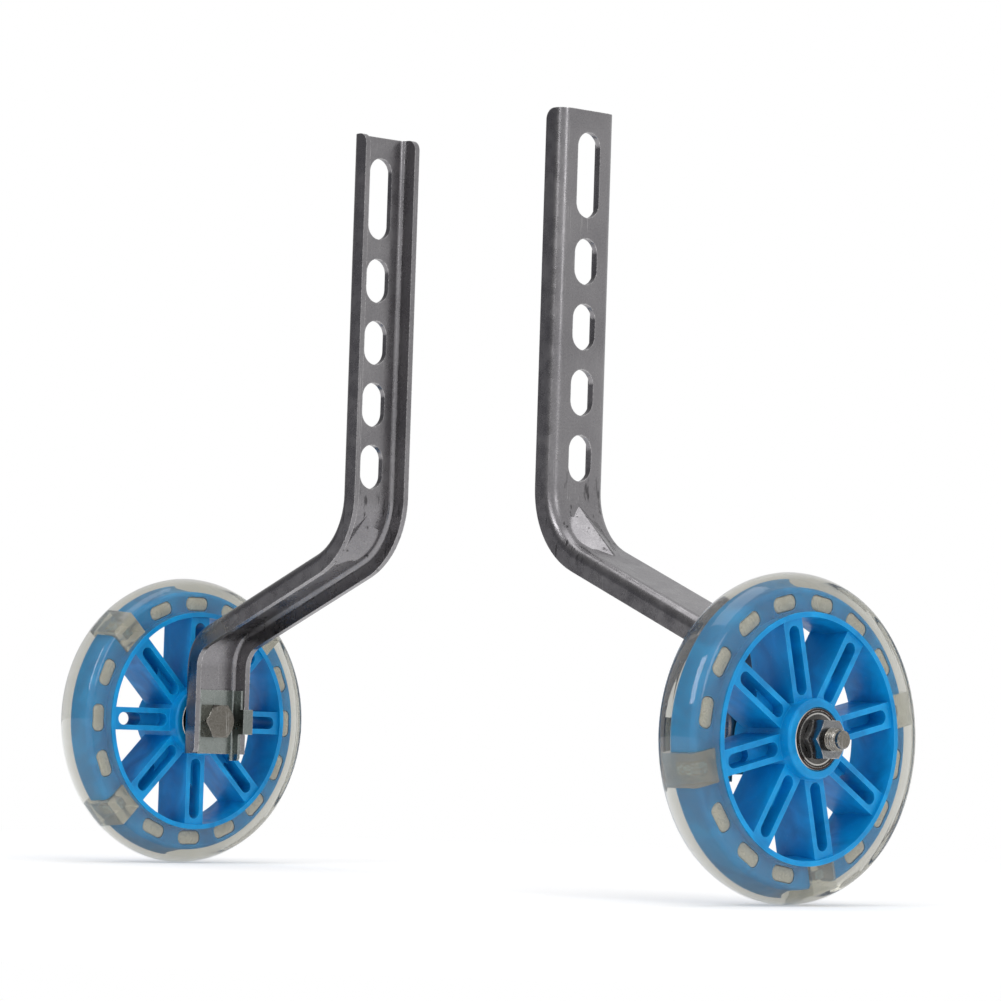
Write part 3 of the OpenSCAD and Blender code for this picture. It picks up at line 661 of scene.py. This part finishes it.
def stage_floor():
    """The floor: pale and faintly glowing near the part, plain white for the camera further out."""
    mesh = bpy.data.meshes.new("floor")
    corners = [(sx * FLOOR_HALF, sy * FLOOR_HALF, FLOOR_Z) for sx, sy in ((-1, -1), (1, -1), (1, 1), (-1, 1))]
    mesh.from_pydata(corners, [], [(0, 1, 2, 3)])
    floor = bpy.data.objects.new("floor", mesh)
    bpy.context.scene.collection.objects.link(floor)
    material = bpy.data.materials.new("floor")
    material.use_nodes = True
    tree = material.node_tree
    tree.nodes.clear()
    out = tree.nodes.new("ShaderNodeOutputMaterial")
    diffuse = tree.nodes.new("ShaderNodeBsdfDiffuse")
    diffuse.inputs["Color"].default_value = FLOOR_COLOUR
    glow = tree.nodes.new("ShaderNodeEmission")
    glow.inputs["Strength"].default_value = FLOOR_GLOW
    total = tree.nodes.new("ShaderNodeAddShader")
    tree.links.new(diffuse.outputs[0], total.inputs[0])
    tree.links.new(glow.outputs[0], total.inputs[1])
    place = tree.nodes.new("ShaderNodeTexCoord")
    reach = tree.nodes.new("ShaderNodeVectorMath")
    reach.operation = "LENGTH"
    tree.links.new(place.outputs["Object"], reach.inputs[0])
    far = tree.nodes.new("ShaderNodeMapRange")
    far.inputs["From Min"].default_value = FLOOR_NEAR
    far.inputs["From Max"].default_value = FLOOR_FAR
    tree.links.new(reach.outputs["Value"], far.inputs["Value"])
    share = tree.nodes.new("ShaderNodeMath")
    share.operation = "MULTIPLY"
    tree.links.new(far.outputs["Result"], share.inputs[0])
    tree.links.new(seen_directly(tree), share.inputs[1])
    white = tree.nodes.new("ShaderNodeEmission")
    fade = tree.nodes.new("ShaderNodeMixShader")
    tree.links.new(share.outputs[0], fade.inputs[0])
    tree.links.new(total.outputs[0], fade.inputs[1])
    tree.links.new(white.outputs[0], fade.inputs[2])
    tree.links.new(fade.outputs[0], out.inputs["Surface"])
    mesh.materials.append(material)


def backdrop():
    """The world: white for the camera, and a tent with one dark side for all other rays."""
    world = bpy.data.worlds.new("backdrop")
    bpy.context.scene.world = world
    world.use_nodes = True
    tree = world.node_tree
    tree.nodes.clear()
    out = tree.nodes.new("ShaderNodeOutputWorld")
    white = tree.nodes.new("ShaderNodeBackground")
    white.inputs["Color"].default_value = (1, 1, 1, 1)
    white.inputs["Strength"].default_value = 1.0
    tent = tree.nodes.new("ShaderNodeBackground")
    tent.inputs["Strength"].default_value = TENT_STRENGTH
    place = tree.nodes.new("ShaderNodeTexCoord")
    facing = tree.nodes.new("ShaderNodeVectorMath")
    facing.operation = "DOT_PRODUCT"
    facing.inputs[1].default_value = DARK_SIDE
    tree.links.new(place.outputs["Generated"], facing.inputs[0])
    ramp = tree.nodes.new("ShaderNodeValToRGB")
    stops = ramp.color_ramp.elements
    stops[0].position, stops[0].color = 0.0, LIGHTEST
    stops[1].position, stops[1].color = 1.0, DARKEST
    for position, grey in GREYS:
        stop = stops.new(position)
        stop.color = (grey, grey, grey * GREY_BLUE, 1)
    # The cosine of -1..1 becomes the ramp's 0..1
    lifted = tree.nodes.new("ShaderNodeMath")
    lifted.operation = "MULTIPLY_ADD"
    lifted.inputs[1].default_value = 0.5
    lifted.inputs[2].default_value = 0.5
    tree.links.new(facing.outputs["Value"], lifted.inputs[0])
    tree.links.new(lifted.outputs[0], ramp.inputs[0])
    tree.links.new(ramp.outputs[0], tent.inputs["Color"])
    mix = tree.nodes.new("ShaderNodeMixShader")
    tree.links.new(seen_directly(tree), mix.inputs[0])
    tree.links.new(tent.outputs[0], mix.inputs[1])
    tree.links.new(white.outputs[0], mix.inputs[2])
    tree.links.new(mix.outputs[0], out.inputs["Surface"])


def soft_light(name, place, target, width, height, power):
    """A rectangular lamp at place that faces target."""
    data = bpy.data.lights.new(name, "AREA")
    data.shape = "RECTANGLE"
    data.size = width
    data.size_y = height
    data.energy = power
    obj = bpy.data.objects.new(name, data)
    bpy.context.scene.collection.objects.link(obj)
    obj.location = place
    obj.rotation_euler = (Vector(target) - Vector(place)).to_track_quat("-Z", "Y").to_euler()


stage_floor()
backdrop()
for lamp in LAMPS:
    soft_light(*lamp)

camera = bpy.data.objects.new("camera", bpy.data.cameras.new("camera"))
bpy.context.scene.collection.objects.link(camera)
camera.location = CAMERA_PLACE
camera.rotation_euler = Euler([math.radians(a) for a in CAMERA_TURN])
camera.data.sensor_width = SENSOR
camera.data.lens = CAMERA_LENS
camera.data.clip_start = CLIP_START
camera.data.clip_end = CLIP_END
bpy.context.scene.camera = camera
bpy.context.scene.view_settings.view_transform = "Standard"
